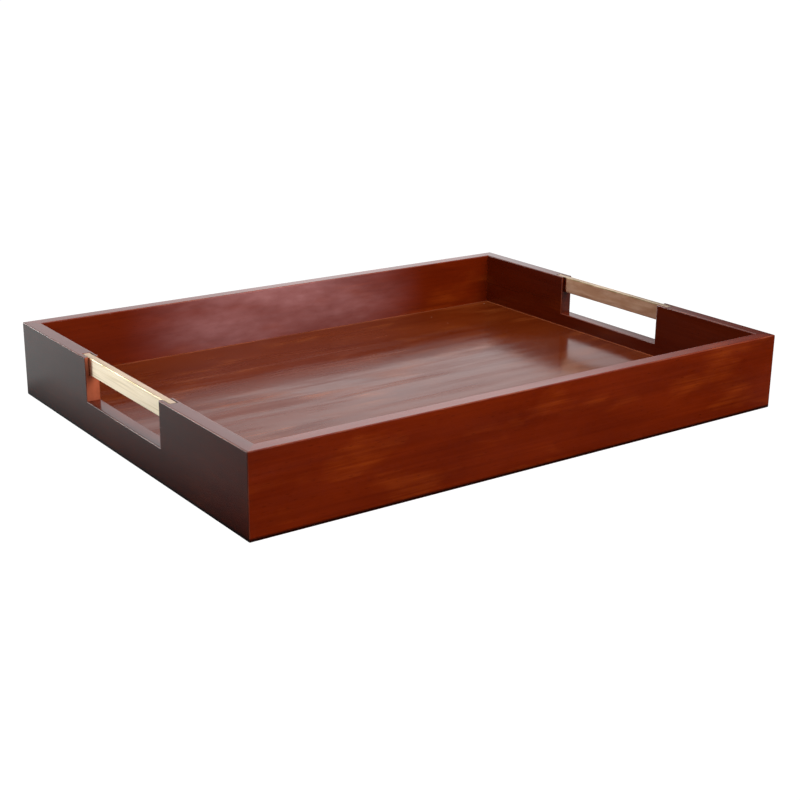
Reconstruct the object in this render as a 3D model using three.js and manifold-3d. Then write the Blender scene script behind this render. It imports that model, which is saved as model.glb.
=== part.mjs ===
// A rectangular serving tray: four mitred side boards, a base panel held in a groove, and a brass bar
// let into the top edge of each end board over a hand notch.
// Millimetres. X runs along the tray, Y across it, Z is up. The origin is the centre of the footprint,
// on the surface that the tray stands on.

import * as THREE from 'three';
import { mergeVertices } from 'three/addons/utils/BufferGeometryUtils.js';
import Module from 'manifold-3d';

// Walls.
const TRAY_LENGTH = 508;
const TRAY_WIDTH = 381;
const WALL_HEIGHT = 64;
const WALL_THICKNESS = 12;
const WOOD_ARRIS = 1.2;

// Base panel and the groove that holds it.
const PANEL_THICKNESS = 6;
const PANEL_UNDERSIDE = 10;
const GROOVE_DEPTH = 5;

// Hand notch in each end board.
const NOTCH_LENGTH = 127;
const NOTCH_FLOOR = 28;

// Brass bar over each notch.
const BAR_THICKNESS = 6;
const BAR_HEIGHT = 14.8;
const BAR_ARRIS = 1;
const BAR_TAIL = 11.5;
const BAR_TOWARD_INSIDE = 0.5;

// Round stud under each end of a bar.
const STUD_DIAMETER = 3;
const STUD_IN_BAR = 7;
const STUD_IN_BOARD = 14;

// Loose spline in each corner mitre.
const SPLINE_THICKNESS = 3;
const SPLINE_FROM_INSIDE = 6.5;
const SPLINE_COVER = 1.8;
const SPLINE_ABOVE_PANEL = 4;
const SPLINE_BELOW_TOP = 8;
const SPLINE_END_RADIUS = 3;

// Clearance between two pieces that touch, and how far a cutting tool runs past a face.
const GAP = 0.3;
const OVERRUN = 5;

const ARC_STEPS = 4;
const ROUND_SEGMENTS = 24;

const BAR_LENGTH = NOTCH_LENGTH + 2 * BAR_TAIL;
const BAR_UNDERSIDE = WALL_HEIGHT - BAR_HEIGHT;
const BAR_CENTRE_DEPTH = WALL_THICKNESS / 2 + BAR_TOWARD_INSIDE;
const STUD_SPACING = NOTCH_LENGTH + BAR_TAIL;
const STUD_LENGTH = STUD_IN_BAR + STUD_IN_BOARD;
const PANEL_TOP = PANEL_UNDERSIDE + PANEL_THICKNESS;

const wasm = await Module();
wasm.setup();

// ---- solids and meshes ----------------------------------------------------------------------------

function solidFrom(geometry) {
  const bare = geometry.clone();
  bare.deleteAttribute('normal');
  bare.deleteAttribute('uv');
  const welded = mergeVertices(bare);
  return new wasm.Manifold(new wasm.Mesh({
    numProp: 3,
    vertProperties: new Float32Array(welded.attributes.position.array),
    triVerts: new Uint32Array(welded.index.array),
  }));
}

function geometryFrom(solid) {
  const mesh = solid.getMesh();
  const geometry = new THREE.BufferGeometry();
  geometry.setAttribute('position', new THREE.BufferAttribute(mesh.vertProperties, 3));
  geometry.setIndex(new THREE.BufferAttribute(mesh.triVerts, 1));
  geometry.computeVertexNormals();
  return geometry;
}

function namedMesh(name, geometry, colour, roughness, metalness) {
  const material = new THREE.MeshStandardMaterial({ color: colour, roughness, metalness });
  const mesh = new THREE.Mesh(geometry, material);
  mesh.name = name;
  return mesh;
}

const woodMesh = (name, geometry) => namedMesh(name, geometry, 0x5a2010, 0.35, 0);
const plyMesh = (name, geometry) => namedMesh(name, geometry, 0xb98a5a, 0.8, 0);
const brassMesh = (name, geometry) => namedMesh(name, geometry, 0xd9b77a, 0.3, 1);

// ---- shapes that several pieces share -------------------------------------------------------------

// A rectangle from (left, bottom) with all four corners rounded.
function roundedRectangle(left, bottom, width, height, radius) {
  const right = left + width;
  const top = bottom + height;
  const shape = new THREE.Shape();
  shape.absarc(right - radius, bottom + radius, radius, -Math.PI / 2, 0);
  shape.absarc(right - radius, top - radius, radius, 0, Math.PI / 2);
  shape.absarc(left + radius, top - radius, radius, Math.PI / 2, Math.PI);
  shape.absarc(left + radius, bottom + radius, radius, Math.PI, 1.5 * Math.PI);
  shape.closePath();
  return shape;
}

function extruded(shape, depth) {
  return new THREE.ExtrudeGeometry(shape, { depth, bevelEnabled: false, curveSegments: ARC_STEPS });
}

// An outline drawn across and up, swept along +X and centred on x = 0.
function sweptAlongX(shape, length) {
  const across = new THREE.Vector3(0, 1, 0);
  const up = new THREE.Vector3(0, 0, 1);
  const along = new THREE.Vector3(1, 0, 0);
  const turn = new THREE.Matrix4().makeBasis(across, up, along);
  return extruded(shape, length).translate(0, 0, -length / 2).applyMatrix4(turn);
}

function block(low, high) {
  const size = high.map((value, axis) => value - low[axis]);
  const middle = high.map((value, axis) => (value + low[axis]) / 2);
  return new THREE.BoxGeometry(...size).translate(...middle);
}

function uprightCylinder(diameter, low, high) {
  const radius = diameter / 2;
  return new THREE.CylinderGeometry(radius, radius, high - low, ROUND_SEGMENTS)
    .rotateX(Math.PI / 2)
    .translate(0, 0, (low + high) / 2);
}

// ---- corner splines -------------------------------------------------------------------------------

// The spline stands across the mitre, nearer the inside of the corner, where the wood is deepest.
const SPLINE_FROM_OUTSIDE = WALL_THICKNESS * Math.SQRT2 - SPLINE_FROM_INSIDE;
const SPLINE_WIDTH = 2 * (SPLINE_FROM_OUTSIDE - SPLINE_COVER * Math.SQRT2 - 2 * GAP) - SPLINE_THICKNESS;
const SPLINE_LOW = PANEL_TOP + SPLINE_ABOVE_PANEL;
const SPLINE_HIGH = WALL_HEIGHT - SPLINE_BELOW_TOP;
const SPLINE_ROUNDING = Math.min(SPLINE_END_RADIUS, SPLINE_WIDTH / 3);

// A spline, or with a clearance the slot for it, at the corner given by two signs.
function splineAt(signX, signY, clearance) {
  const width = SPLINE_WIDTH + 2 * clearance;
  const thickness = SPLINE_THICKNESS + 2 * clearance;
  const height = SPLINE_HIGH - SPLINE_LOW + 2 * clearance;
  const outline = roundedRectangle(-width / 2, -height / 2, width, height, SPLINE_ROUNDING + clearance);
  const inward = SPLINE_FROM_OUTSIDE / Math.SQRT2;
  return extruded(outline, thickness)
    .translate(0, 0, -thickness / 2)
    .rotateX(Math.PI / 2)
    .rotateZ(-signX * signY * Math.PI / 4)
    .translate(
      signX * (TRAY_LENGTH / 2 - inward),
      signY * (TRAY_WIDTH / 2 - inward),
      (SPLINE_LOW + SPLINE_HIGH) / 2,
    );
}

const CORNERS = [
  { name: 'front_left', signX: -1, signY: -1 },
  { name: 'front_right', signX: 1, signY: -1 },
  { name: 'back_left', signX: -1, signY: 1 },
  { name: 'back_right', signX: 1, signY: 1 },
];

// ---- side boards ----------------------------------------------------------------------------------

// A plain mitred board with its panel groove. It runs along X, with its outer face at y = -span / 2.
function mitredBoard(length, span) {
  const outer = -span / 2;
  const inner = outer + WALL_THICKNESS;
  const profile = roundedRectangle(outer, 0, WALL_THICKNESS, WALL_HEIGHT, WOOD_ARRIS);
  const groove = block(
    [-length, inner - GROOVE_DEPTH, PANEL_UNDERSIDE - GAP],
    [length, inner + OVERRUN, PANEL_TOP + GAP],
  );

  // The two mitre planes meet at the middle of the tray's end, each set back by half of the gap.
  const halfAtOuter = length / 2 - GAP / Math.SQRT2;
  const plan = new THREE.Shape();
  plan.moveTo(-halfAtOuter - OVERRUN, outer - OVERRUN);
  plan.lineTo(halfAtOuter + OVERRUN, outer - OVERRUN);
  plan.lineTo(halfAtOuter - WALL_THICKNESS - OVERRUN, inner + OVERRUN);
  plan.lineTo(-halfAtOuter + WALL_THICKNESS + OVERRUN, inner + OVERRUN);
  plan.closePath();
  const rounded = roundedRectangle(-length / 2, outer, length, span, WOOD_ARRIS);

  return solidFrom(sweptAlongX(profile, length))
    .subtract(solidFrom(groove))
    .intersect(solidFrom(extruded(plan, WALL_HEIGHT + 2 * OVERRUN).translate(0, 0, -OVERRUN)))
    .intersect(solidFrom(extruded(rounded, WALL_HEIGHT + 2 * OVERRUN).translate(0, 0, -OVERRUN)));
}

// The hand notch, the two slots for the bar's ends and the holes for its studs, in the same place as
// a board of the given span.
function handleCuts(span) {
  const outer = -span / 2;
  const barMiddle = outer + BAR_CENTRE_DEPTH;
  const notch = block(
    [-NOTCH_LENGTH / 2, outer - OVERRUN, NOTCH_FLOOR],
    [NOTCH_LENGTH / 2, outer + WALL_THICKNESS + OVERRUN, WALL_HEIGHT + OVERRUN],
  );
  const slot = block(
    [-BAR_LENGTH / 2 - GAP, barMiddle - BAR_THICKNESS / 2 - GAP, BAR_UNDERSIDE - GAP],
    [BAR_LENGTH / 2 + GAP, barMiddle + BAR_THICKNESS / 2 + GAP, WALL_HEIGHT + OVERRUN],
  );
  const cuts = [notch, slot];
  for (const side of [-1, 1]) {
    const hole = uprightCylinder(
      STUD_DIAMETER + 2 * GAP,
      BAR_UNDERSIDE - STUD_IN_BOARD - GAP,
      BAR_UNDERSIDE + OVERRUN,
    );
    cuts.push(hole.translate(side * STUD_SPACING / 2, barMiddle, 0));
  }
  return cuts.map(solidFrom);
}

// Turns a board about Z into its place and cuts the spline slots at its two ends.
function placedBoard(board, quarterTurns) {
  let placed = board.rotate([0, 0, quarterTurns * 90]);
  for (const { signX, signY } of CORNERS) {
    placed = placed.subtract(solidFrom(splineAt(signX, signY, GAP)));
  }
  return geometryFrom(placed);
}

function sideBoard(quarterTurns) {
  return placedBoard(mitredBoard(TRAY_LENGTH, TRAY_WIDTH), quarterTurns);
}

function endBoard(quarterTurns) {
  let board = mitredBoard(TRAY_WIDTH, TRAY_LENGTH);
  for (const cut of handleCuts(TRAY_LENGTH)) {
    board = board.subtract(cut);
  }
  return placedBoard(board, quarterTurns);
}

// ---- base panel -----------------------------------------------------------------------------------

function basePanel() {
  const reach = GROOVE_DEPTH - GAP - WALL_THICKNESS;
  const halfLength = TRAY_LENGTH / 2 + reach;
  const halfWidth = TRAY_WIDTH / 2 + reach;
  return block([-halfLength, -halfWidth, PANEL_UNDERSIDE], [halfLength, halfWidth, PANEL_TOP]);
}

// ---- handle bars and studs ------------------------------------------------------------------------

// The distance from the tray's middle to the middle of each handle bar.
const BAR_FROM_MIDDLE = TRAY_LENGTH / 2 - BAR_CENTRE_DEPTH;

function handleBar() {
  const outline = roundedRectangle(-BAR_THICKNESS / 2, BAR_UNDERSIDE, BAR_THICKNESS, BAR_HEIGHT, BAR_ARRIS);
  let bar = solidFrom(sweptAlongX(outline, BAR_LENGTH));
  for (const side of [-1, 1]) {
    const hole = uprightCylinder(
      STUD_DIAMETER + 2 * GAP,
      BAR_UNDERSIDE - OVERRUN,
      BAR_UNDERSIDE + STUD_IN_BAR + GAP,
    );
    bar = bar.subtract(solidFrom(hole.translate(side * STUD_SPACING / 2, 0, 0)));
  }
  return geometryFrom(bar).rotateZ(Math.PI / 2);
}

function stud() {
  const low = BAR_UNDERSIDE - STUD_IN_BOARD;
  return uprightCylinder(STUD_DIAMETER, low, low + STUD_LENGTH);
}

// ---- the tray -------------------------------------------------------------------------------------

const tray = new THREE.Group();
tray.add(woodMesh('front_board', sideBoard(0)));
tray.add(woodMesh('back_board', sideBoard(2)));
tray.add(woodMesh('left_end_board', endBoard(-1)));
tray.add(woodMesh('right_end_board', endBoard(1)));
tray.add(woodMesh('base_panel', basePanel()));

for (const { name, signX, signY } of CORNERS) {
  tray.add(plyMesh(`${name}_spline`, splineAt(signX, signY, 0)));
}

for (const [end, signX] of [['left', -1], ['right', 1]]) {
  const handle = new THREE.Group();
  handle.position.x = signX * BAR_FROM_MIDDLE;
  handle.add(brassMesh(`${end}_handle_bar`, handleBar()));
  for (const [side, signY] of [['front', -1], ['back', 1]]) {
    const pin = brassMesh(`${end}_handle_${side}_stud`, stud());
    pin.position.y = signY * STUD_SPACING / 2;
    handle.add(pin);
  }
  tray.add(handle);
}

export default tray;
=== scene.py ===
import math

import bmesh
import bpy
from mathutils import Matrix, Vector


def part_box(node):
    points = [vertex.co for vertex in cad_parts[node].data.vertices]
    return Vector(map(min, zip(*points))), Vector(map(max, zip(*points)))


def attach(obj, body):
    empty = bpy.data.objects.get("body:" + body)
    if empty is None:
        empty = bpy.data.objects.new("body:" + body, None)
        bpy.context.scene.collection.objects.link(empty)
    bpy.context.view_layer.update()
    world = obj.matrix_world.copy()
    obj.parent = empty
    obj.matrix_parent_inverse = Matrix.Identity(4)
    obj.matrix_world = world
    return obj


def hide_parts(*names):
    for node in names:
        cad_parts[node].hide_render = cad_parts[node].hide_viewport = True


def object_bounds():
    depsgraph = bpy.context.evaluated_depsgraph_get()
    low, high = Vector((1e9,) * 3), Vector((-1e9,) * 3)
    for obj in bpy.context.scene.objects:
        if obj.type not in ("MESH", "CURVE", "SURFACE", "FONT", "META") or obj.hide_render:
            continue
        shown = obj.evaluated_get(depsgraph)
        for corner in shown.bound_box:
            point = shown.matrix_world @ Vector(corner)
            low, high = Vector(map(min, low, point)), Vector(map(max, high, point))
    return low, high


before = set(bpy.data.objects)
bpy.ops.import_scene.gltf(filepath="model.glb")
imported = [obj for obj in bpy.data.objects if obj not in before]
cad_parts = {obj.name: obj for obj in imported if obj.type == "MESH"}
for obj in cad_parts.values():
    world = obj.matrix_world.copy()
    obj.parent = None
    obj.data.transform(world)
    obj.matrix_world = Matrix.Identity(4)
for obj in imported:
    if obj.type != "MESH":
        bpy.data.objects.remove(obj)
cad_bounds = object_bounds()

# ---- Camera ---------------------------------------------------------------------------------------
# A long lens stands off the tray's front left corner, a little above its rim, and looks down the
# length of the tray.
CAMERA_PLACE = (-0.6833, -0.9540, 0.3882)
CAMERA_TURN = (71.715, -0.641, -35.551)
CAMERA_LENS = 64.92
CAMERA_SENSOR = 36
CAMERA_NEAR = 0.05

camera_data = bpy.data.cameras.new("tray_camera")
camera_data.lens = CAMERA_LENS
camera_data.sensor_width = CAMERA_SENSOR
camera_data.clip_start = CAMERA_NEAR
camera = bpy.data.objects.new("tray_camera", camera_data)
camera.location = CAMERA_PLACE
camera.rotation_euler = [math.radians(angle) for angle in CAMERA_TURN]
bpy.context.scene.collection.objects.link(camera)
bpy.context.scene.camera = camera

# ---- Studio ---------------------------------------------------------------------------------------
# A pale floor that runs out of sight under soft lamps, and is clear from below. White paper stands
# behind, and the gloss mirrors it. The gloss sees the floor dark in front of the tray, and a painted
# shadow darkens it close to the tray.
FLOOR_REACH = 80
FLOOR_DROP = 0.0002
FLOOR_SEEN = (1.0, 1.0, 1.0, 1)
FLOOR_GLOW = 1.10
FLOOR_SHADOW_SHARE = 0.06
FLOOR_BOUNCE = (0.40, 0.39, 0.385, 1)
FLOOR_DARK = (0.006, 0.006, 0.006, 1)
FLOOR_BRIGHT = (0.67, 0.73, 0.73, 1)
FLOOR_DARK_UNTIL = -0.26
FLOOR_BRIGHT_FROM = 0.34
FLOOR_DARK_WITHIN = 0.020
FLOOR_BRIGHT_BEYOND = 0.045
PAPER_MIDDLE = (0.0632, 0.9041, 0.4226)
PAPER_EDGE = (0.719, 0.829)
PAPER_COLOUR = (1.0, 0.985, 1.0, 1)
PAPER_TURN = (0.38, 0.50)
PAPER_LEFT_GLOW = 0.98
PAPER_RIGHT_GLOW = 1.50
ROOM_GLOW = 0.05
FRONT_ROOM_GLOW = 0.45
FRONT_ROOM_REACH = (0.15, -0.50)
CEILING_GLOW = 0.70
CEILING_REACH = (0.66, 0.92)
AMBIENT = (0.80, 0.80, 0.86, 1)
AMBIENT_STRENGTH = 0.16


def clear_selection():
    """Leaves nothing selected, ready for the next primitive."""
    bpy.ops.object.select_all(action="DESELECT")
    bpy.context.view_layer.objects.active = None


def bare_tree(owner):
    """The empty node tree of a material or a world."""
    owner.use_nodes = True
    owner.node_tree.nodes.clear()
    return owner.node_tree


def add_node(tree, kind, **settings):
    """A new node. Each setting is a property of the node, such as its operation."""
    node = tree.nodes.new(kind)
    for key, value in settings.items():
        setattr(node, key, value)
    return node


def feed(tree, value, socket):
    """Gives a socket either a number or colour of its own, or a link from another node's output."""
    if isinstance(value, bpy.types.NodeSocket):
        tree.links.new(value, socket)
    else:
        socket.default_value = value


def ramp(tree, value, low, high, start=0.0, end=1.0, soft=False):
    """Maps low..high on to start..end, held at both ends."""
    scale = add_node(tree, "ShaderNodeMapRange", interpolation_type="SMOOTHSTEP" if soft else "LINEAR")
    for name, number in (("From Min", low), ("From Max", high), ("To Min", start), ("To Max", end)):
        scale.inputs[name].default_value = number
    feed(tree, value, scale.inputs["Value"])
    return scale.outputs["Result"]


# A Mix node's colour sockets go by number, because its number sockets have the same names.
FIRST_COLOUR, SECOND_COLOUR, MIXED_COLOUR = 6, 7, 2


def blend(tree, share, first, second):
    """A mix of two colours."""
    mix = add_node(tree, "ShaderNodeMix", data_type="RGBA")
    feed(tree, share, mix.inputs["Factor"])
    feed(tree, first, mix.inputs[FIRST_COLOUR])
    feed(tree, second, mix.inputs[SECOND_COLOUR])
    return mix.outputs[MIXED_COLOUR]


def arithmetic(tree, operation, *values):
    """One step of sums on numbers or sockets."""
    step = add_node(tree, "ShaderNodeMath", operation=operation)
    for value, socket in zip(values, step.inputs):
        feed(tree, value, socket)
    return step.outputs[0]


def mixed(tree, share, first, second):
    """A mix of two shaders."""
    mix = add_node(tree, "ShaderNodeMixShader")
    feed(tree, share, mix.inputs["Fac"])
    tree.links.new(first, mix.inputs[1])
    tree.links.new(second, mix.inputs[2])
    return mix.outputs["Shader"]


def emission(tree, colour, strength, kind="ShaderNodeEmission"):
    """A plain glow, for a surface or for the world."""
    glow = add_node(tree, kind)
    feed(tree, colour, glow.inputs["Color"])
    feed(tree, strength, glow.inputs["Strength"])
    return glow.outputs[0]


clear_selection()
bpy.ops.mesh.primitive_plane_add(size=FLOOR_REACH, location=(0, 0, -FLOOR_DROP))
floor = bpy.context.object
floor.name = "studio_floor"
floor_paint = bpy.data.materials.new("studio_floor_paint")
tree = bare_tree(floor_paint)
ray = add_node(tree, "ShaderNodeLightPath")
bounce = add_node(tree, "ShaderNodeBsdfDiffuse")
bounce.inputs["Color"].default_value = FLOOR_BOUNCE
place = add_node(tree, "ShaderNodeTexCoord")
parts = add_node(tree, "ShaderNodeSeparateXYZ")
tree.links.new(place.outputs["Object"], parts.inputs["Vector"])
back = ramp(tree, parts.outputs["Y"], FLOOR_DARK_UNTIL, FLOOR_BRIGHT_FROM)
half_length, half_width = cad_bounds[1][0], cad_bounds[1][1]
# Painted shadow: the glow that the gloss sees fades to dark near the tray, within a few centimetres of its
# ends and, between its ends, up to a little past its back.
off_middle = arithmetic(tree, "ABSOLUTE", parts.outputs["X"])
beside = ramp(tree, off_middle, half_length - FLOOR_DARK_WITHIN, half_length + FLOOR_BRIGHT_BEYOND)
behind = ramp(tree, parts.outputs["Y"], half_width - FLOOR_DARK_WITHIN, half_width + FLOOR_BRIGHT_BEYOND)
around = arithmetic(tree, "MAXIMUM", beside, behind)
mirrored = emission(tree, blend(tree, back, FLOOR_DARK, FLOOR_BRIGHT), around)
seen = mixed(tree, FLOOR_SHADOW_SHARE, emission(tree, FLOOR_SEEN, FLOOR_GLOW), bounce.outputs["BSDF"])
unseen = mixed(tree, ray.outputs["Is Glossy Ray"], bounce.outputs["BSDF"], mirrored)
from_above = mixed(tree, ray.outputs["Is Camera Ray"], unseen, seen)
side = add_node(tree, "ShaderNodeNewGeometry")
clear = add_node(tree, "ShaderNodeBsdfTransparent")
output = add_node(tree, "ShaderNodeOutputMaterial")
either_side = mixed(tree, side.outputs["Backfacing"], from_above, clear.outputs["BSDF"])
tree.links.new(either_side, output.inputs["Surface"])
floor.data.materials.append(floor_paint)


def softbox(name, place, target, size, power, colour, mirrored):
    """A rectangular lamp that faces a target. It lights the gloss alone, or everything but the gloss."""
    lamp_data = bpy.data.lights.new(name, "AREA")
    lamp_data.shape = "RECTANGLE"
    lamp_data.size, lamp_data.size_y = size
    lamp_data.energy = power
    lamp_data.color = colour
    lamp = bpy.data.objects.new(name, lamp_data)
    lamp.location = place
    aim = Vector(target) - Vector(place)
    lamp.rotation_euler = aim.to_track_quat("-Z", "Y").to_euler()
    lamp.visible_camera = False
    lamp.visible_glossy = mirrored
    lamp.visible_diffuse = not mirrored
    bpy.context.scene.collection.objects.link(lamp)


softbox(
    "key_softbox", place=(0.45, -1.68, 0.72), target=(0, 0, 0.03), size=(0.55, 1.2),
    power=30, colour=(1.0, 0.97, 0.93), mirrored=False,
)
softbox(
    "top_softbox", place=(-0.05, -0.05, 0.8), target=(0, 0, 0), size=(0.35, 0.35),
    power=8.5, colour=(1.0, 0.98, 0.96), mirrored=False,
)
softbox(
    "left_softbox", place=(-1.15, -1.00, 0.75), target=(0, 0, 0.03), size=(0.7, 0.7),
    power=5.5, colour=(0.98, 0.98, 1.0), mirrored=False,
)
softbox(
    "strip_softbox", place=(-2.45, 4.50, 0.95), target=(-0.25, 0, 0.05), size=(0.8, 1.3),
    power=105, colour=(1.0, 0.99, 0.97), mirrored=True,
)

world = bpy.data.worlds.new("studio_world")
bpy.context.scene.world = world
tree = bare_tree(world)
ray = add_node(tree, "ShaderNodeLightPath")
way = add_node(tree, "ShaderNodeTexCoord")
toward = add_node(tree, "ShaderNodeVectorMath", operation="DOT_PRODUCT")
toward.inputs[1].default_value = PAPER_MIDDLE
tree.links.new(way.outputs["Generated"], toward.inputs[0])
parts = add_node(tree, "ShaderNodeSeparateXYZ")
tree.links.new(way.outputs["Generated"], parts.inputs["Vector"])
lit = ramp(tree, parts.outputs["X"], *PAPER_TURN, PAPER_LEFT_GLOW, PAPER_RIGHT_GLOW)
shape = ramp(tree, toward.outputs["Value"], *PAPER_EDGE, soft=True)
front_glow = ramp(tree, parts.outputs["Y"], *FRONT_ROOM_REACH, ROOM_GLOW, FRONT_ROOM_GLOW, soft=True)
ceiling_glow = ramp(tree, parts.outputs["Z"], *CEILING_REACH, 0.0, CEILING_GLOW, soft=True)
room_glow = arithmetic(tree, "MAXIMUM", front_glow, ceiling_glow)
glow = arithmetic(tree, "MULTIPLY_ADD", shape, lit, room_glow)
paper = emission(tree, PAPER_COLOUR, glow, "ShaderNodeBackground")
ambient = emission(tree, AMBIENT, AMBIENT_STRENGTH, "ShaderNodeBackground")
white = emission(tree, FLOOR_SEEN, FLOOR_GLOW, "ShaderNodeBackground")
unseen = mixed(tree, ray.outputs["Is Glossy Ray"], ambient, paper)
output = add_node(tree, "ShaderNodeOutputWorld")
tree.links.new(mixed(tree, ray.outputs["Is Camera Ray"], unseen, white), output.inputs["Surface"])
bpy.context.scene.view_settings.view_transform = "Standard"

# ---- Side boards ----------------------------------------------------------------------------------
# Four walls of red-brown stained hardwood under clear lacquer. They are worked as one ring, with the
# hand notches cut, the groove run and every arris eased, and then parted at the corner mitres.
TRAY_LOW, TRAY_HIGH = (Vector(corner) for corner in cad_bounds)
FRONT_LOW, FRONT_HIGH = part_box("front_board")
PANEL_LOW, PANEL_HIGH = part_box("base_panel")
BAR_LOW, BAR_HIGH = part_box("left_handle_bar")
WALL = FRONT_HIGH.y - FRONT_LOW.y
TOP_ARRIS = 0.0010
NEAR_ENOUGH = 0.0002
OVERSHOOT = 1
GROOVE_SLACK = 0.00008
MITRE_SEAM = 0.00002
SLOT_SLACK = 0.00035
SOCKET_CLEARANCE = 0.0003
BAR_TAIL = 0.0115
NOTCH_FLOOR = 0.028
NOTCH_HALF = (BAR_HIGH.y - BAR_LOW.y) / 2 - BAR_TAIL


def block(name, low, high):
    """A cube primitive at its size and place, with its place in its mesh."""
    clear_selection()
    low, high = Vector(low), Vector(high)
    bpy.ops.mesh.primitive_cube_add(size=1, location=(low + high) / 2, scale=high - low)
    bpy.ops.object.transform_apply(location=True, rotation=True, scale=True)
    piece = bpy.context.object
    piece.name = name
    piece.data.name = name
    return piece


def cut_away(piece, cutter):
    """Takes the cutter out of the piece and throws the cutter away."""
    clear_selection()
    bpy.context.view_layer.objects.active = piece
    piece.select_set(True)
    cut = piece.modifiers.new("cut", "BOOLEAN")
    cut.operation = "DIFFERENCE"
    cut.solver = "EXACT"
    cut.object = cutter
    bpy.ops.object.modifier_apply(modifier=cut.name)
    bpy.data.objects.remove(cutter)


def edit(piece):
    """Opens a piece in edit mode with nothing selected, and returns its live mesh."""
    clear_selection()
    bpy.context.view_layer.objects.active = piece
    piece.select_set(True)
    bpy.ops.object.mode_set(mode="EDIT")
    bpy.ops.mesh.select_mode(type="EDGE")
    bpy.ops.mesh.select_all(action="DESELECT")
    return bmesh.from_edit_mesh(piece.data)


def ease(piece, chosen, width, segments=3):
    """Rounds over the edges that the test chooses by their middle and direction."""
    live = edit(piece)
    for edge in live.edges:
        middle = (edge.verts[0].co + edge.verts[1].co) / 2
        along = (edge.verts[1].co - edge.verts[0].co).normalized()
        if edge.is_manifold and chosen(middle, along):
            edge.select_set(True)
    bmesh.update_edit_mesh(piece.data)
    bpy.ops.mesh.bevel(offset=width, offset_type="OFFSET", segments=segments, profile=0.5, affect="EDGES")
    bpy.ops.object.mode_set(mode="OBJECT")


def near(value, goal):
    """True when a measure is the one that is meant."""
    return abs(value - goal) < NEAR_ENOUGH


ring = block("wall_ring", TRAY_LOW, TRAY_HIGH)
inside = Vector((WALL, WALL, -OVERSHOOT))
cut_away(ring, block("opening", TRAY_LOW + inside, TRAY_HIGH - inside))
groove_low = Vector((PANEL_LOW.x, PANEL_LOW.y, PANEL_LOW.z - GROOVE_SLACK))
groove_high = Vector((PANEL_HIGH.x, PANEL_HIGH.y, PANEL_HIGH.z + GROOVE_SLACK))
cut_away(ring, block("groove", groove_low, groove_high))
notch_low = Vector((TRAY_LOW.x - OVERSHOOT, -NOTCH_HALF, NOTCH_FLOOR))
notch_high = Vector((TRAY_HIGH.x + OVERSHOOT, NOTCH_HALF, TRAY_HIGH.z + OVERSHOOT))
cut_away(ring, block("notches", notch_low, notch_high))


def on_an_arris(middle, along):
    """True on the outer, inner and notch arrises, and on the four upright outer corners."""
    on_outside = any(near(abs(middle[a]), TRAY_HIGH[a]) for a in (0, 1))
    on_inside = any(near(abs(middle[a]), TRAY_HIGH[a] - WALL) for a in (0, 1))
    level = near(abs(along.z), 0)
    at_top_or_bottom = near(middle.z, TRAY_HIGH.z) or near(middle.z, TRAY_LOW.z)
    long_arris = level and at_top_or_bottom and (on_outside or on_inside)
    upright_corner = not level and near(abs(middle.x), TRAY_HIGH.x) and near(abs(middle.y), TRAY_HIGH.y)
    in_notch = near(abs(middle.x), TRAY_HIGH.x) or near(abs(middle.x), TRAY_HIGH.x - WALL)
    notch_floor = level and in_notch and near(middle.z, NOTCH_FLOOR)
    notch_end = not level and in_notch and near(abs(middle.y), NOTCH_HALF)
    return long_arris or upright_corner or notch_floor or notch_end


ease(ring, on_an_arris, TOP_ARRIS)
slot_low = Vector((BAR_LOW.x - SLOT_SLACK, BAR_LOW.y - SLOT_SLACK, BAR_LOW.z - SLOT_SLACK))
slot_high = Vector((BAR_HIGH.x + SLOT_SLACK, BAR_HIGH.y + SLOT_SLACK, TRAY_HIGH.z + OVERSHOOT))
cut_away(ring, block("left_slots", slot_low, slot_high))
cut_away(ring, block(
    "right_slots",
    (-slot_high.x, slot_low.y, slot_low.z),
    (-slot_low.x, slot_high.y, slot_high.z),
))


def stretched_noise(tree, vector, along, across, detail, distortion=0.0):
    """Noise drawn out along the grain. The two scales are repeats per metre."""
    stretch = add_node(tree, "ShaderNodeMapping", vector_type="POINT")
    stretch.inputs["Scale"].default_value = (along, across, across)
    noise = add_node(tree, "ShaderNodeTexNoise")
    noise.inputs["Scale"].default_value = 1
    noise.inputs["Detail"].default_value = detail
    noise.inputs["Distortion"].default_value = distortion
    tree.links.new(vector, stretch.inputs["Vector"])
    tree.links.new(stretch.outputs["Vector"], noise.inputs["Vector"])
    return noise.outputs["Fac"]


def new_group(name, inputs, outputs):
    """An empty node group with its named sockets, and its entry and exit nodes."""
    group = bpy.data.node_groups.new(name, "ShaderNodeTree")
    for socket, kind in inputs:
        group.interface.new_socket(socket, in_out="INPUT", socket_type=kind)
    for socket, kind in outputs:
        group.interface.new_socket(socket, in_out="OUTPUT", socket_type=kind)
    return group, add_node(group, "NodeGroupInput"), add_node(group, "NodeGroupOutput")


# The patterns in the wood. Each has its repeats per metre along the grain and across it, its detail
# and its distortion, and then the range of the noise that it is read from.
CLOUD, CLOUD_RANGE = (13, 40, 4, 0.2), (0.34, 0.68)
FIGURE, FIGURE_RANGE = (9, 420, 4, 0.05), (0.30, 0.72)
GLOW, GLOW_RANGE = (16, 48, 3, 0.3), (0.54, 0.78)
FIBRE, FIBRE_RANGE = (26, 950, 3), (0.30, 0.72)
PORES, PORE_RANGE = (160, 1500, 1), (0.66, 0.78)
DULL_PATCHES, DULL_RANGE = (7, 80, 6, 0.4), (0.36, 0.70)
GLOW_IN_FIGURE = (0.1, 0.9, 0.2, 0.8)
CLOUD_SHARE = 0.55
FIGURE_SHARE = 0.45
FIBRE_SHARE = 0.28
PORE_SHARE = 0.45
PORE_DEPTH = 0.5
PORE_STAIN = (0.014, 0.0012, 0.0002, 1)


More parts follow.
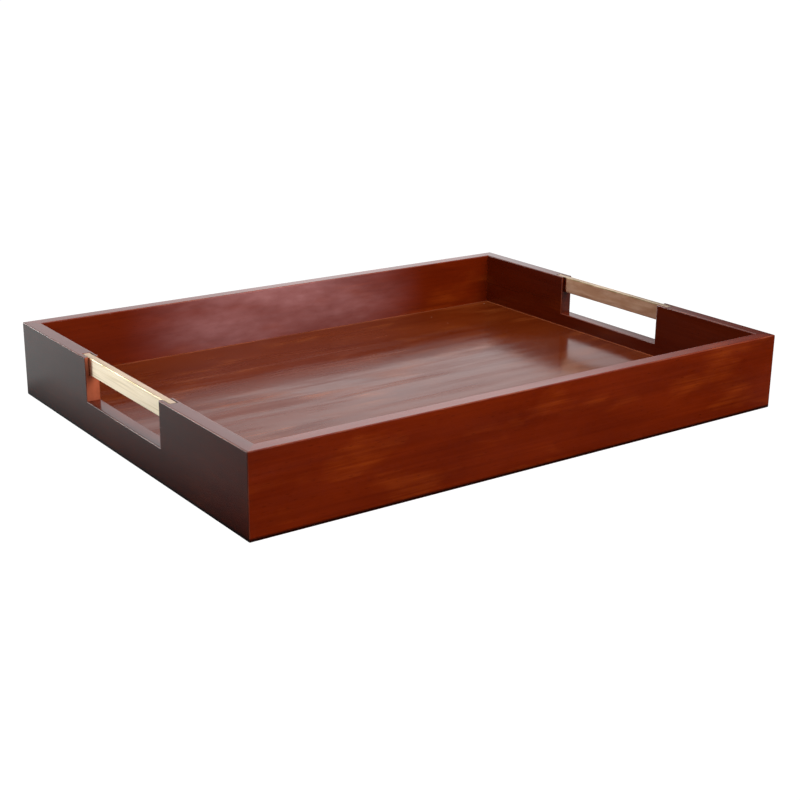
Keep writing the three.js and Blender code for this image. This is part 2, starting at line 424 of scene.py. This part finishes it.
def stained_grain_group():
    """Stained hardwood. The grain runs along X of the vector, which is in metres."""
    group, entry, leave = new_group(
        "stained_grain",
        [("Vector", "NodeSocketVector")] + [(n, "NodeSocketColor") for n in ("Deep", "Middle", "Light")],
        [("Colour", "NodeSocketColor"), ("Height", "NodeSocketFloat"), ("Dullness", "NodeSocketFloat")],
    )
    vector = entry.outputs["Vector"]
    cloud = ramp(group, stretched_noise(group, vector, *CLOUD), *CLOUD_RANGE)
    figure = ramp(group, stretched_noise(group, vector, *FIGURE), *FIGURE_RANGE)
    glow = ramp(group, stretched_noise(group, vector, *GLOW), *GLOW_RANGE)
    fibre = ramp(group, stretched_noise(group, vector, *FIBRE), *FIBRE_RANGE)
    pores = ramp(group, stretched_noise(group, vector, *PORES), *PORE_RANGE)
    clouded = arithmetic(group, "MULTIPLY", cloud, CLOUD_SHARE)
    body = arithmetic(group, "MULTIPLY_ADD", figure, FIGURE_SHARE, clouded)
    ground = blend(group, body, entry.outputs["Deep"], entry.outputs["Middle"])
    glowing = arithmetic(group, "MULTIPLY", glow, ramp(group, figure, *GLOW_IN_FIGURE))
    lit = blend(group, glowing, ground, entry.outputs["Light"])
    fibred = blend(group, arithmetic(group, "MULTIPLY", fibre, FIBRE_SHARE), lit, entry.outputs["Deep"])
    pored = blend(group, arithmetic(group, "MULTIPLY", pores, PORE_SHARE), fibred, PORE_STAIN)
    group.links.new(pored, leave.inputs["Colour"])
    sunk = arithmetic(group, "MULTIPLY", pores, PORE_DEPTH)
    group.links.new(arithmetic(group, "SUBTRACT", fibre, sunk), leave.inputs["Height"])
    dull = ramp(group, stretched_noise(group, vector, *DULL_PATCHES), *DULL_RANGE)
    group.links.new(dull, leave.inputs["Dullness"])
    return group


ARRIS_TURN = (0.985, 0.90)
RUBBED_RANGE = (0.42, 0.70)
RUBBED_DETAIL = 4


def worn_arris_group():
    """Finds the eased arrises, where the surface faces no axis squarely, and breaks them up."""
    group, entry, leave = new_group(
        "worn_arris",
        [("Patchiness", "NodeSocketFloat")],
        [("Arris", "NodeSocketFloat"), ("Worn", "NodeSocketFloat")],
    )
    surface = add_node(group, "ShaderNodeNewGeometry")
    size = add_node(group, "ShaderNodeVectorMath", operation="ABSOLUTE")
    group.links.new(surface.outputs["Normal"], size.inputs[0])
    parts = add_node(group, "ShaderNodeSeparateXYZ")
    group.links.new(size.outputs["Vector"], parts.inputs["Vector"])
    wide = arithmetic(group, "MAXIMUM", parts.outputs["X"], parts.outputs["Y"])
    squarest = arithmetic(group, "MAXIMUM", wide, parts.outputs["Z"])
    arris = ramp(group, squarest, *ARRIS_TURN)
    place = add_node(group, "ShaderNodeTexCoord")
    patch = add_node(group, "ShaderNodeTexNoise")
    patch.inputs["Detail"].default_value = RUBBED_DETAIL
    group.links.new(place.outputs["Object"], patch.inputs["Vector"])
    group.links.new(entry.outputs["Patchiness"], patch.inputs["Scale"])
    rubbed = ramp(group, patch.outputs["Fac"], *RUBBED_RANGE)
    group.links.new(arris, leave.inputs["Arris"])
    group.links.new(arithmetic(group, "MULTIPLY", arris, rubbed), leave.inputs["Worn"])
    return group


SPECK_CELLS = 38
SPECK_EDGE = (0.022, 0.012)
SPECK_RARITY = 0.80


def dust_speck_group():
    """A few pale specks of dust caught in the lacquer, each about half a millimetre across."""
    group, entry, leave = new_group(
        "dust_specks",
        [("Vector", "NodeSocketVector")],
        [("Specks", "NodeSocketFloat")],
    )
    cells = add_node(group, "ShaderNodeTexVoronoi")
    cells.inputs["Scale"].default_value = SPECK_CELLS
    group.links.new(entry.outputs["Vector"], cells.inputs["Vector"])
    shade = add_node(group, "ShaderNodeSeparateColor")
    group.links.new(cells.outputs["Color"], shade.inputs["Color"])
    close = ramp(group, cells.outputs["Distance"], *SPECK_EDGE)
    chosen = arithmetic(group, "GREATER_THAN", shade.outputs["Red"], SPECK_RARITY)
    group.links.new(arithmetic(group, "MULTIPLY", close, chosen), leave.inputs["Specks"])
    return group


# How the finish of a board varies. A range is low and high, then start and end where they aren't 0
# and 1. A mottle, a drift and breaks have the same four numbers as the patterns above.
STAINED_GRAIN = stained_grain_group()
WORN_ARRIS = worn_arris_group()
DUST_SPECKS = dust_speck_group()
WALL_STAINS = {
    "Deep": (0.070, 0.0050, 0.0003),
    "Middle": (0.118, 0.0105, 0.0007),
    "Light": (0.200, 0.0300, 0.0030),
}
WALL_GLOSS = (0.16, 0.25)
# A paler stain, for worn arrises and for the paler lines along the panel's edges.
PALE_STAIN = (0.300, 0.0850, 0.0360, 1)
# Painted light: the pale colour given to the notch end that faces forward, as light falling on it.
NOTCH_END_LIGHT = (0.420, 0.1050, 0.0500, 1)
# Painted shade: the near-black colour at the foot of each wall, standing in for shade where it meets the
# floor.
FOOT_SHADE = (0.012, 0.0016, 0.0006, 1)
# Painted reflection: the pale colour of a sheen painted into the back board's lacquer, standing in for a
# soft reflection.
PAINTED_SHEEN = (0.315, 0.1400, 0.1420, 1)
DUST = (0.62, 0.50, 0.44, 1)
FOOT_SHADE_HEIGHT = 0.0036
PAINTED_SHEEN_SHARE = 0.95
PAINTED_SHEEN_MOTTLE, PAINTED_SHEEN_MOTTLE_RANGE = (60, 170, 9), (0.20, 0.74, 0.55)
PAINTED_SHEEN_DRIFT, PAINTED_SHEEN_DRIFT_RANGE = (9, 34, 3, 0.3), (0.36, 0.62, 0.55)
PAINTED_SHEEN_HEIGHT = 0.016
INNER_FACE = (0.0004, 0.0001)
SEAM_SHARE = 0.55
END_SEAM = (0.0020, 0.0012)
SIDE_SEAM = (0.0034, 0.0012)
SEAM_BREAKS, SEAM_BREAK_RANGE = (18, 18, 3), (0.38, 0.62, 0.35)
USED_RANGE = (0.17, 0.02, 0.30)
NOTCH_END_TURN = (-0.75, -0.98)
NOTCH_END_MOTTLE, NOTCH_END_RANGE = (120, 90, 4), (0.3, 0.7, 0.55, 0.95)
WORN_PATCHINESS = 45
WORN_SHARE = 0.35
ARRIS_ROUGHNESS = 0.42
DUST_SHARE = 0.7
GRAIN_STRENGTH, GRAIN_RELIEF = 0.35, 0.00001
RIPPLE_REPEATS, RIPPLE_DETAIL = 55, 2
RIPPLE_STRENGTH, RIPPLE_RELIEF = 0.5, 0.00014


def lacquered_wood(
    name, turn, shift, shade=1.0, stains=WALL_STAINS, gloss=WALL_GLOSS, index=1.5,
    painted_sheen=None, seams=None, painted_notch_light=False,
):
    """Stained wood under lacquer. The grain is turned about Z and shifted for each board.

    A painted sheen, given by its middle and its half length, is a soft pale reflection painted into
    the colour. Seams are paler lines near the panel's edges, given by its visible half length and
    half width, and a panel with them is duller in its left half. A notch with painted light has its
    end that faces forward painted pale, as light falling on it.
    """
    material = bpy.data.materials.new(name)
    tree = bare_tree(material)
    output = add_node(tree, "ShaderNodeOutputMaterial")
    shader = add_node(tree, "ShaderNodeBsdfPrincipled")
    shader.inputs["IOR"].default_value = index
    coordinates = add_node(tree, "ShaderNodeTexCoord")
    place = add_node(tree, "ShaderNodeMapping", vector_type="POINT")
    place.inputs["Rotation"].default_value = (0, 0, math.radians(turn))
    place.inputs["Location"].default_value = shift
    tree.links.new(coordinates.outputs["Object"], place.inputs["Vector"])
    grain = add_node(tree, "ShaderNodeGroup", node_tree=STAINED_GRAIN)
    for socket, colour in stains.items():
        grain.inputs[socket].default_value = [part * shade for part in colour] + [1]
    tree.links.new(place.outputs["Vector"], grain.inputs["Vector"])
    parts = add_node(tree, "ShaderNodeSeparateXYZ")
    tree.links.new(coordinates.outputs["Object"], parts.inputs["Vector"])
    colour = grain.outputs["Colour"]
    dullness = grain.outputs["Dullness"]

    # Painted reflection: a soft pale sheen is painted in patches into the colour of the back board's inner
    # face, above its joint with the panel. The lacquer is duller there as well.
    if painted_sheen:
        middle, half_length = painted_sheen
        off_middle = arithmetic(tree, "ABSOLUTE", arithmetic(tree, "SUBTRACT", parts.outputs["X"], middle))
        sheen_spread = ramp(tree, off_middle, half_length, 0.2 * half_length, soft=True)
        mottle = stretched_noise(tree, place.outputs["Vector"], *PAINTED_SHEEN_MOTTLE)
        patchy = ramp(tree, mottle, *PAINTED_SHEEN_MOTTLE_RANGE)
        inner_face = [TRAY_HIGH.y - WALL + depth for depth in INNER_FACE]
        inner = ramp(tree, parts.outputs["Y"], *inner_face)
        wander = stretched_noise(tree, place.outputs["Vector"], *PAINTED_SHEEN_DRIFT)
        drift = ramp(tree, wander, *PAINTED_SHEEN_DRIFT_RANGE)
        sheen_patches = arithmetic(tree, "MULTIPLY", arithmetic(tree, "MULTIPLY", sheen_spread, patchy), drift)
        above_joint = ramp(tree, parts.outputs["Z"], PANEL_HIGH.z, PANEL_HIGH.z + PAINTED_SHEEN_HEIGHT, 0.5)
        painted_sheen_mask = arithmetic(tree, "MULTIPLY", sheen_patches, arithmetic(tree, "MULTIPLY", inner, above_joint))
        colour = blend(tree, arithmetic(tree, "MULTIPLY", painted_sheen_mask, PAINTED_SHEEN_SHARE), colour, PAINTED_SHEEN)
        dullness = arithmetic(tree, "MAXIMUM", dullness, painted_sheen_mask)

    # Paler lines near the panel's visible edges, broken along its sides, and a duller left half.
    if seams:
        half_length, half_width = seams
        past_end = arithmetic(tree, "ABSOLUTE", parts.outputs["X"])
        past_side = arithmetic(tree, "ABSOLUTE", parts.outputs["Y"])
        end_line = ramp(tree, past_end, *[half_length - inset for inset in END_SEAM])
        side_line = ramp(tree, past_side, *[half_width - inset for inset in SIDE_SEAM])
        breaks = stretched_noise(tree, place.outputs["Vector"], *SEAM_BREAKS)
        broken = ramp(tree, breaks, *SEAM_BREAK_RANGE)
        line = arithmetic(tree, "MAXIMUM", end_line, arithmetic(tree, "MULTIPLY", side_line, broken))
        colour = blend(tree, arithmetic(tree, "MULTIPLY", line, SEAM_SHARE), colour, PALE_STAIN)
        used = ramp(tree, parts.outputs["X"], *USED_RANGE)
        dullness = arithmetic(tree, "MULTIPLY", dullness, used)

    # Painted light: faces that face forward, chiefly the notch's end, are painted pale in patches, as if
    # lit.
    if painted_notch_light:
        surface = add_node(tree, "ShaderNodeNewGeometry")
        facing = add_node(tree, "ShaderNodeSeparateXYZ")
        tree.links.new(surface.outputs["Normal"], facing.inputs["Vector"])
        notch_end = ramp(tree, facing.outputs["Y"], *NOTCH_END_TURN)
        mottle = stretched_noise(tree, coordinates.outputs["Object"], *NOTCH_END_MOTTLE)
        uneven = ramp(tree, mottle, *NOTCH_END_RANGE)
        colour = blend(tree, arithmetic(tree, "MULTIPLY", notch_end, uneven), colour, NOTCH_END_LIGHT)

    worn = add_node(tree, "ShaderNodeGroup", node_tree=WORN_ARRIS)
    worn.inputs["Patchiness"].default_value = WORN_PATCHINESS
    thinned = arithmetic(tree, "MULTIPLY", worn.outputs["Worn"], WORN_SHARE)
    colour = blend(tree, thinned, colour, PALE_STAIN)
    # Painted shade: the lowest few millimetres of each wall darken to near black, as shade at the floor.
    painted_foot_shade = ramp(tree, parts.outputs["Z"], FOOT_SHADE_HEIGHT, 0.5 * FOOT_SHADE_HEIGHT)
    colour = blend(tree, painted_foot_shade, colour, FOOT_SHADE)
    specks = add_node(tree, "ShaderNodeGroup", node_tree=DUST_SPECKS)
    tree.links.new(place.outputs["Vector"], specks.inputs["Vector"])
    colour = blend(tree, arithmetic(tree, "MULTIPLY", specks.outputs["Specks"], DUST_SHARE), colour, DUST)
    tree.links.new(colour, shader.inputs["Base Color"])

    roughness = ramp(tree, dullness, 0.0, 1.0, *gloss)
    on_arris = arithmetic(tree, "MULTIPLY", worn.outputs["Arris"], ARRIS_ROUGHNESS)
    roughness = arithmetic(tree, "MAXIMUM", roughness, on_arris)
    tree.links.new(roughness, shader.inputs["Roughness"])
    bump = add_node(tree, "ShaderNodeBump")
    bump.inputs["Strength"].default_value = GRAIN_STRENGTH
    bump.inputs["Distance"].default_value = GRAIN_RELIEF
    tree.links.new(grain.outputs["Height"], bump.inputs["Height"])
    wave = add_node(tree, "ShaderNodeTexNoise")
    wave.inputs["Scale"].default_value = RIPPLE_REPEATS
    wave.inputs["Detail"].default_value = RIPPLE_DETAIL
    tree.links.new(coordinates.outputs["Object"], wave.inputs["Vector"])
    ripple = add_node(tree, "ShaderNodeBump")
    ripple.inputs["Strength"].default_value = RIPPLE_STRENGTH
    ripple.inputs["Distance"].default_value = RIPPLE_RELIEF
    tree.links.new(wave.outputs["Fac"], ripple.inputs["Height"])
    tree.links.new(bump.outputs["Normal"], ripple.inputs["Normal"])
    tree.links.new(ripple.outputs["Normal"], shader.inputs["Normal"])
    tree.links.new(shader.outputs["BSDF"], output.inputs["Surface"])
    return material


def mitred_part(name, keep_sides):
    """A copy of the ring, cut back at the two mitres that bound one wall. Each wall has its own mesh."""
    piece = ring.copy()
    piece.data = ring.data.copy()
    piece.name = name
    piece.data.name = name
    bpy.context.scene.collection.objects.link(piece)
    for corner, inward in keep_sides:
        edit(piece)
        bpy.ops.mesh.select_all(action="SELECT")
        inward = Vector(inward).normalized()
        bpy.ops.mesh.bisect(
            plane_co=Vector(corner) + inward * MITRE_SEAM,
            plane_no=inward,
            use_fill=True,
            clear_inner=True,
            clear_outer=False,
        )
        bpy.ops.object.mode_set(mode="OBJECT")
    return piece


SMOOTH_BELOW = 35
FLAT_WEIGHT = 100


def dress(piece, node, material):
    """Gives a piece its finish, keeps its flats flat, and stands it in for its CAD node."""
    clear_selection()
    bpy.context.view_layer.objects.active = piece
    piece.select_set(True)
    piece.data.materials.clear()
    piece.data.materials.append(material)
    bpy.ops.object.shade_smooth_by_angle(angle=math.radians(SMOOTH_BELOW))
    flats = piece.modifiers.new("flats", "WEIGHTED_NORMAL")
    flats.weight = FLAT_WEIGHT
    flats.keep_sharp = True
    bpy.ops.object.modifier_apply(modifier=flats.name)
    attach(piece, "root")
    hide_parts(node)


WELD = 0.000001
FACET_ANGLE = 1


def socket_for(node):
    """A cutter for the socket of a hidden fixing: a copy of its solid, grown all round by the clearance.

    A stud's facets are merged first, so that its round hole is cut without slivers.
    """
    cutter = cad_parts[node].copy()
    cutter.data = cutter.data.copy()
    bpy.context.scene.collection.objects.link(cutter)
    clear_selection()
    bpy.context.view_layer.objects.active = cutter
    bpy.ops.mesh.customdata_custom_splitnormals_clear()
    edit(cutter)
    bpy.ops.mesh.select_mode(type="VERT")
    bpy.ops.mesh.select_all(action="SELECT")
    bpy.ops.mesh.remove_doubles(threshold=WELD)
    if node.endswith("_stud"):
        bpy.ops.mesh.dissolve_limited(angle_limit=math.radians(FACET_ANGLE))
    bpy.ops.transform.shrink_fatten(value=SOCKET_CLEARANCE, use_even_offset=True)
    bpy.ops.object.mode_set(mode="OBJECT")
    return cutter


def studs_of(side):
    """The studs at one end of the tray."""
    return [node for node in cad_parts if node.endswith("_stud") and node.startswith(side)]


def splines_of(side):
    """The splines in the two corners that one wall meets."""
    return [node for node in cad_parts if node.endswith("_spline") and side in node]


X_OUT, Y_OUT = TRAY_HIGH.x, TRAY_HIGH.y
front_left, front_right = (-X_OUT, -Y_OUT, 0), (X_OUT, -Y_OUT, 0)
back_left, back_right = (-X_OUT, Y_OUT, 0), (X_OUT, Y_OUT, 0)
walls = {
    "front_board": [(front_left, (1, -1, 0)), (front_right, (-1, -1, 0))],
    "back_board": [(back_left, (1, 1, 0)), (back_right, (-1, 1, 0))],
    "left_end_board": [(front_left, (-1, 1, 0)), (back_left, (-1, -1, 0))],
    "right_end_board": [(front_right, (1, 1, 0)), (back_right, (1, -1, 0))],
}
# The shade factors scale each board's stain. They are partly the wood's own tone, the end boards being
# darker wood, and partly painted light: painted shade on the end boards, whose faces in view turn from the
# key lamp, and painted light on the front and back boards, which face it.
finishes = {
    "front_board": lacquered_wood(
        "front_board_lacquer", turn=0, shift=(0.59, 0.12, 0.05), shade=1.15,
    ),
    # The back board has a painted reflection, a pale sheen on its inner face.
    "back_board": lacquered_wood(
        "back_board_lacquer", turn=0, shift=(1.73, 0.67, 0.41), shade=1.1, painted_sheen=(-0.005, 0.17),
    ),
    # The left end board has painted light on its notch end.
    "left_end_board": lacquered_wood(
        "left_end_board_lacquer", turn=90, shift=(2.91, 1.37, 0.83), shade=0.75, painted_notch_light=True,
    ),
    "right_end_board": lacquered_wood(
        "right_end_board_lacquer", turn=90, shift=(4.05, 2.21, 1.19), shade=0.70,
    ),
}
for node, sides in walls.items():
    wall = mitred_part(node + "_finished", sides)
    side = node.split("_")[0]
    for fixing in splines_of(side) + studs_of(side):
        cut_away(wall, socket_for(fixing))
    dress(wall, node, finishes[node])
bpy.data.objects.remove(ring)

# ---- Base panel -----------------------------------------------------------------------------------
# A flat panel under a like stain and lacquer, with every edge eased. It is let into the groove of all
# four walls, and its stain is a little browner than theirs.
PANEL_ARRIS = 0.0004
PANEL_STAINS = {
    "Deep": (0.066, 0.0080, 0.0010),
    "Middle": (0.108, 0.0180, 0.0030),
    "Light": (0.205, 0.0500, 0.0110),
}
PANEL_GLOSS = (0.12, 0.36)
PANEL_INDEX = 1.30
PANEL_SHOWN = (TRAY_HIGH.x - WALL, TRAY_HIGH.y - WALL)


def every_edge(middle, along):
    """The test that eases a piece all over."""
    return True


panel = block("base_panel_finished", PANEL_LOW, PANEL_HIGH)
ease(panel, every_edge, PANEL_ARRIS, segments=2)
dress(panel, "base_panel", lacquered_wood(
    "base_panel_lacquer", turn=0, shift=(0.0, 3.3, 2.2), stains=PANEL_STAINS, gloss=PANEL_GLOSS,
    index=PANEL_INDEX, seams=PANEL_SHOWN,
))

# ---- Handle bars ----------------------------------------------------------------------------------
# Solid brass bars, brushed along their length and eased on every edge. Their ends lie in slots in the
# walls' top edges.
BAR_ARRIS = 0.0009
BRASS = (1.0, 0.85, 0.65, 1)
BRASS_STREAK = (0.60, 0.48, 0.29, 1)
# Painted reflection: the brown of the tray's interior, painted on each bar's inward side and top.
BRASS_PAINTED_REFLECTION = (0.46, 0.28, 0.17, 1)
# Painted reflection: the dark colour painted along each bar's upper arrises.
BRASS_DARK_REFLECTION = (0.17, 0.13, 0.055, 1)
BRUSH = (22, 1500, 3)
STREAKS = (14, 620, 2)
BRASS_PATCHES = (45, 160, 4, 0.4)
BRUSH_DIRECTION = 0.25
BRUSH_STRETCH = 0.6
BRUSHED_GLOSS = (0.3, 0.7, 0.32, 0.46)
STREAK_RANGE = (0.50, 0.72, 0.0, 0.75)
BRUSH_TINT = (0.55, 0.75, 0.0, 0.45)
INNER_TURN = (0.6, 0.95)
TOP_TURN = (0.6, 0.95, 0.0, 0.55)
REFLECTION_PATCH_RANGE = (0.3, 0.6, 0.7)
ARRIS_FROM, ARRIS_UNTIL = (0.03, 0.15), (0.97, 0.85)
DARK_REFLECTION_RANGE = (0.30, 0.60, 0.5)
BRUSH_STRENGTH, BRUSH_RELIEF = 0.5, 0.00004


def brushed_brass(name, inward):
    """Brass brushed along Y. The side that faces inward, given as a sign on X, and the top carry a painted
    brown reflection of the tray's interior; the upper arrises carry a painted dark reflection.
    """
    material = bpy.data.materials.new(name)
    tree = bare_tree(material)
    output = add_node(tree, "ShaderNodeOutputMaterial")
    shader = add_node(tree, "ShaderNodeBsdfPrincipled")
    shader.inputs["Metallic"].default_value = 1.0
    shader.inputs["Anisotropic"].default_value = BRUSH_STRETCH
    shader.inputs["Anisotropic Rotation"].default_value = BRUSH_DIRECTION
    coordinates = add_node(tree, "ShaderNodeTexCoord")
    turned = add_node(tree, "ShaderNodeMapping", vector_type="POINT")
    turned.inputs["Rotation"].default_value = (0, 0, math.radians(90))
    tree.links.new(coordinates.outputs["Object"], turned.inputs["Vector"])
    vector = turned.outputs["Vector"]
    brush = stretched_noise(tree, vector, *BRUSH)
    streak = stretched_noise(tree, vector, *STREAKS)
    patch = stretched_noise(tree, vector, *BRASS_PATCHES)
    colour = blend(tree, ramp(tree, streak, *STREAK_RANGE), BRASS, BRASS_STREAK)
    colour = blend(tree, ramp(tree, brush, *BRUSH_TINT), colour, BRASS_STREAK)
    # Painted reflection: the side that faces inward, and less the top, is painted brown in patches,
    # standing in for the reflection of the tray's red interior.
    surface = add_node(tree, "ShaderNodeNewGeometry")
    parts = add_node(tree, "ShaderNodeSeparateXYZ")
    tree.links.new(surface.outputs["Normal"], parts.inputs["Vector"])
    facing = arithmetic(tree, "MULTIPLY", parts.outputs["X"], inward)
    within = ramp(tree, facing, *INNER_TURN)
    on_top = ramp(tree, parts.outputs["Z"], *TOP_TURN)
    reflecting_sides = arithmetic(tree, "MAXIMUM", within, on_top)
    painted_reflection = arithmetic(tree, "MULTIPLY", reflecting_sides, ramp(tree, patch, *REFLECTION_PATCH_RANGE))
    colour = blend(tree, painted_reflection, colour, BRASS_PAINTED_REFLECTION)
    # Painted reflection: a dark line is painted in patches on the upward-sloping arris faces, standing in
    # for a dark reflection there.
    under_arris = arithmetic(
        tree, "MULTIPLY",
        ramp(tree, parts.outputs["Z"], *ARRIS_FROM),
        ramp(tree, parts.outputs["Z"], *ARRIS_UNTIL),
    )
    dark_reflection_mask = arithmetic(tree, "MULTIPLY", under_arris, ramp(tree, patch, *DARK_REFLECTION_RANGE))
    colour = blend(tree, dark_reflection_mask, colour, BRASS_DARK_REFLECTION)
    tree.links.new(colour, shader.inputs["Base Color"])
    tree.links.new(ramp(tree, brush, *BRUSHED_GLOSS), shader.inputs["Roughness"])
    bump = add_node(tree, "ShaderNodeBump")
    bump.inputs["Strength"].default_value = BRUSH_STRENGTH
    bump.inputs["Distance"].default_value = BRUSH_RELIEF
    tree.links.new(brush, bump.inputs["Height"])
    tree.links.new(bump.outputs["Normal"], shader.inputs["Normal"])
    tree.links.new(shader.outputs["BSDF"], output.inputs["Surface"])
    return material


BAR_FINISHES = {
    "left_handle_bar": brushed_brass("left_bar_brass", 1),
    "right_handle_bar": brushed_brass("right_bar_brass", -1),
}
for node, finish in BAR_FINISHES.items():
    bar = block(node + "_finished", *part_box(node))
    ease(bar, every_edge, BAR_ARRIS, segments=4)
    for stud in studs_of(node.split("_")[0]):
        cut_away(bar, socket_for(stud))
    dress(bar, node, finish)

# ---- Studs and splines ----------------------------------------------------------------------------
# Hidden brass studs hold the bars down, and thin plywood splines key the corner mitres. Both are glued
# into sockets in their neighbours.
PLY = (0.42, 0.27, 0.13)
PLY_TONES = {"Deep": 0.6, "Middle": 1.0, "Light": 1.3}
PLY_ROUGHNESS = 0.75

ply = bpy.data.materials.new("spline_ply")
tree = bare_tree(ply)
ply_output = add_node(tree, "ShaderNodeOutputMaterial")
ply_shader = add_node(tree, "ShaderNodeBsdfPrincipled")
ply_shader.inputs["Roughness"].default_value = PLY_ROUGHNESS
ply_grain = add_node(tree, "ShaderNodeGroup", node_tree=STAINED_GRAIN)
for socket, share in PLY_TONES.items():
    ply_grain.inputs[socket].default_value = [part * share for part in PLY] + [1]
ply_coordinates = add_node(tree, "ShaderNodeTexCoord")
tree.links.new(ply_coordinates.outputs["Object"], ply_grain.inputs["Vector"])
tree.links.new(ply_grain.outputs["Colour"], ply_shader.inputs["Base Color"])
tree.links.new(ply_shader.outputs["BSDF"], ply_output.inputs["Surface"])
hidden = {node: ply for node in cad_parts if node.endswith("_spline")}
for node, finish in BAR_FINISHES.items():
    hidden.update({stud: finish for stud in studs_of(node.split("_")[0])})
for node, material in hidden.items():
    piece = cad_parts[node]
    piece.data.materials.clear()
    piece.data.materials.append(material)
